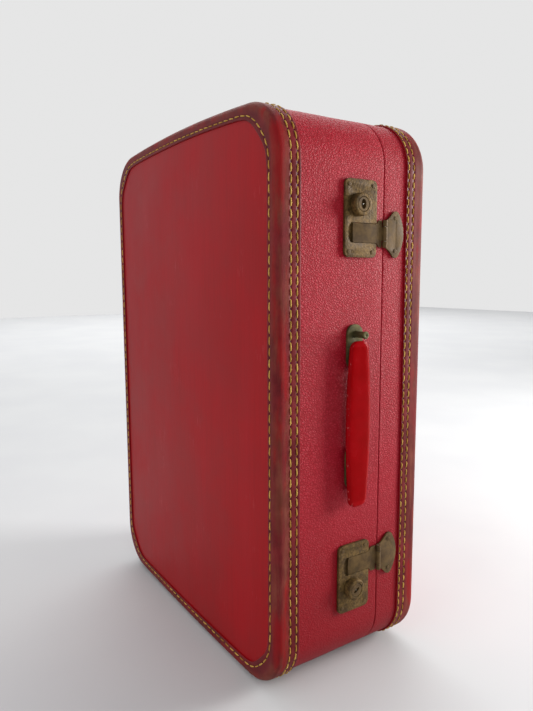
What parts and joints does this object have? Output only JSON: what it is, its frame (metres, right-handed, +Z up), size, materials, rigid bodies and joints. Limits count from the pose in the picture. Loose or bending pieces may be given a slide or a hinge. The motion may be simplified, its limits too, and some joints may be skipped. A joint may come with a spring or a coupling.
{
  "type": "suitcase",
  "caption": "Hard-sided weekender suitcase with stitched edge bindings, two key locks with hasps, a flat handle on sliding posts and a hinged lid with a pocket.",
  "frame": {"origin": "bottom centre of the whole object's bounding box, with the case standing on its short end", "axes": "+Z up along the case's length, +X through its depth from the body panel to the lid, -Y towards the handle and locks, +Y towards the hinges"},
  "size_m": [0.1738, 0.3837, 0.5363],
  "materials": {
    "panel_vinyl": "smooth red coated cloth, satin, dusty at the top",
    "pebbled_vinyl": "pebble-grained red coated cloth with a dull sheen",
    "binding_vinyl": "maroon binding, worn tan on its edges",
    "board": "bent box board, raw",
    "lining_cloth": "matt lining cloth",
    "pocket_cloth": "gathered lining cloth with an elastic mouth",
    "brass": "tarnished, hammered brass",
    "steel": "dull plated steel",
    "grip_plastic": "glossy red moulded plastic, rubbed on its edges"
  },
  "bodies": {
    "body": {"body_hoop": "board", "body_panel_board": "board", "body_wall_cover": "pebbled_vinyl", "body_panel_cover": "panel_vinyl", "body_binding": "binding_vinyl", "body_wall_lining": "lining_cloth", "body_panel_lining": "lining_cloth", "body_rim_rail": "board", "upper_hinge_body_leaf": "brass", "lower_hinge_body_leaf": "brass", "upper_hinge_pin": "steel", "lower_hinge_pin": "steel", "upper_lock_plate": "brass", "lower_lock_plate": "brass", "upper_lock_spring": "steel", "lower_lock_spring": "steel", "upper_lock_nail_1": "brass", "upper_lock_nail_2": "brass", "upper_lock_nail_3": "brass", "upper_lock_nail_4": "brass", "lower_lock_nail_1": "brass", "lower_lock_nail_2": "brass", "lower_lock_nail_3": "brass", "lower_lock_nail_4": "brass", "upper_handle_plate": "brass", "lower_handle_plate": "brass", "upper_post_bush": "steel", "lower_post_bush": "steel"},
    "lid": {"lid_hoop": "board", "lid_panel_board": "board", "lid_wall_cover": "pebbled_vinyl", "lid_panel_cover": "panel_vinyl", "lid_binding": "binding_vinyl", "lid_wall_lining": "lining_cloth", "lid_panel_lining": "lining_cloth", "lid_pocket": "pocket_cloth", "lid_pocket_elastic": "pocket_cloth", "upper_hinge_lid_leaf": "brass", "lower_hinge_lid_leaf": "brass", "upper_hasp_keeper": "brass", "lower_hasp_keeper": "brass", "upper_hasp_pin": "steel", "lower_hasp_pin": "steel", "upper_keeper_nail_1": "brass", "upper_keeper_nail_2": "brass", "lower_keeper_nail_1": "brass", "lower_keeper_nail_2": "brass"},
    "upper_hasp": {"upper_hasp": "brass"},
    "lower_hasp": {"lower_hasp": "brass"},
    "upper_button": {"upper_lock_button": "brass", "upper_lock_bolt": "steel"},
    "lower_button": {"lower_lock_button": "brass", "lower_lock_bolt": "steel"},
    "upper_key": {"upper_key_plug": "brass"},
    "lower_key": {"lower_key_plug": "brass"},
    "upper_post": {"upper_handle_post": "brass", "upper_post_retainer": "steel"},
    "lower_post": {"lower_handle_post": "brass", "lower_post_retainer": "steel"},
    "grip": {"handle_grip": "grip_plastic"}
  },
  "joints": [
    {"name": "lid_hinge", "type": "hinge", "parent": "body", "child": "lid", "pos_m": [0.03375, 0.18935, 0.2665], "axis": [0, 0, 1], "range_deg": [0, 100]},
    {"name": "upper_hasp_hinge", "type": "hinge", "parent": "lid", "child": "upper_hasp", "pos_m": [0.03245, -0.17845, 0.4221], "axis": [0, 0, 1], "range_deg": [0, 160]},
    {"name": "upper_button_slide", "type": "slide", "parent": "body", "child": "upper_button", "axis": [0, 0, 1], "range_m": [0, 0.005], "stiffness_N_per_m": 300, "springref_m": -0.004, "deforming": ["upper_lock_spring"]},
    {"name": "upper_key_turn", "type": "hinge", "parent": "upper_button", "child": "upper_key", "pos_m": [0.00095, -0.17785, 0.4464], "axis": [0, -1, 0], "range_deg": [0, 90]},
    {"name": "lower_hasp_hinge", "type": "hinge", "parent": "lid", "child": "lower_hasp", "pos_m": [0.03245, -0.17845, 0.1109], "axis": [0, 0, 1], "range_deg": [0, 160]},
    {"name": "lower_button_slide", "type": "slide", "parent": "body", "child": "lower_button", "axis": [0, 0, -1], "range_m": [0, 0.005], "stiffness_N_per_m": 300, "springref_m": -0.004, "deforming": ["lower_lock_spring"]},
    {"name": "lower_key_turn", "type": "hinge", "parent": "lower_button", "child": "lower_key", "pos_m": [-0.00025, -0.17785, 0.0887], "axis": [0, -1, 0], "range_deg": [0, 90]},
    {"name": "upper_post_slide", "type": "slide", "parent": "body", "child": "upper_post", "axis": [0, -1, 0], "range_m": [-0.0083, 0]},
    {"name": "lower_post_slide", "type": "slide", "parent": "body", "child": "lower_post", "axis": [0, -1, 0], "range_m": [0, 0.0083]},
    {"name": "grip_slide", "type": "slide", "parent": "lower_post", "child": "grip", "axis": [0, 0, 1], "range_m": [0, 0.0015]}
  ]
}
